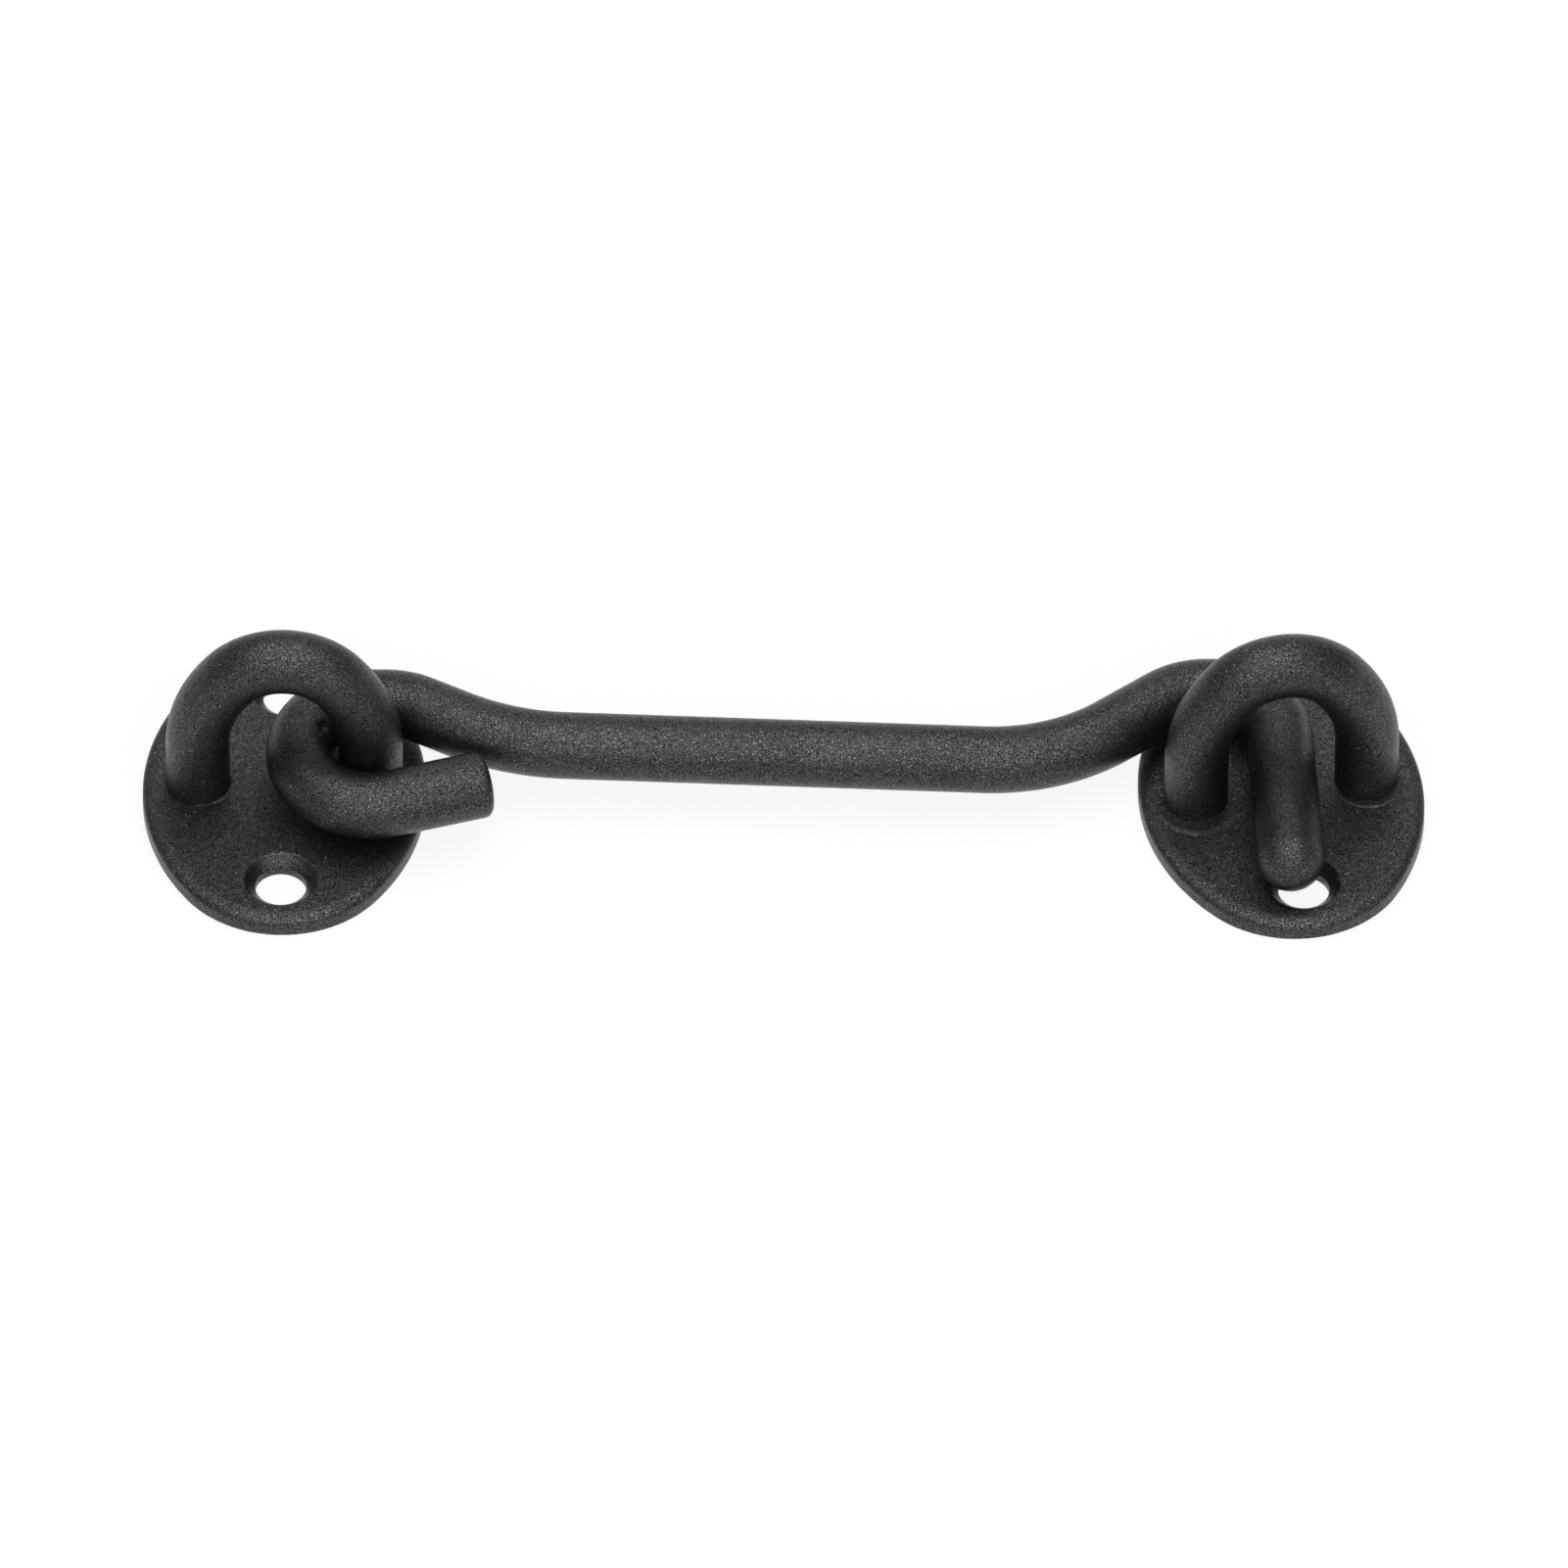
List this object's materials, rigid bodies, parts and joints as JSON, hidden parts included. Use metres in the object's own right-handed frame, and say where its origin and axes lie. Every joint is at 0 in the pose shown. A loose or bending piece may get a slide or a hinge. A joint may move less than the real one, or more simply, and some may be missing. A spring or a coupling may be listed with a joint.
{
  "type": "cabin hook latch",
  "caption": "Black bar hook hung by its curled eye on a staple over an oval base plate, its bent end caught in the staple of a matching keeper plate.",
  "frame": {"origin": "centre of the base plate's back face, where it lies on the door or frame", "axes": "+Z out of the plates' fronts, +Y along the base plate's line of screws, +X across it, towards the keeper plate"},
  "size_m": [0.1336, 0.0411, 0.0238],
  "materials": {
    "black_coat": "satin, fine texture"
  },
  "bodies": {
    "plates": {"base_plate": "black_coat", "base_staple": "black_coat", "base_welds": "black_coat", "keeper_plate": "black_coat", "keeper_staple": "black_coat", "keeper_welds": "black_coat"},
    "hook": {"hook_bar": "black_coat"}
  },
  "joints": [
    {"name": "hook_swing", "type": "hinge", "parent": "plates", "child": "hook", "pos_m": [0.009, 0, 0.0069], "axis": [0, 0, 1], "range_deg": [-2, 145]}
  ]
}
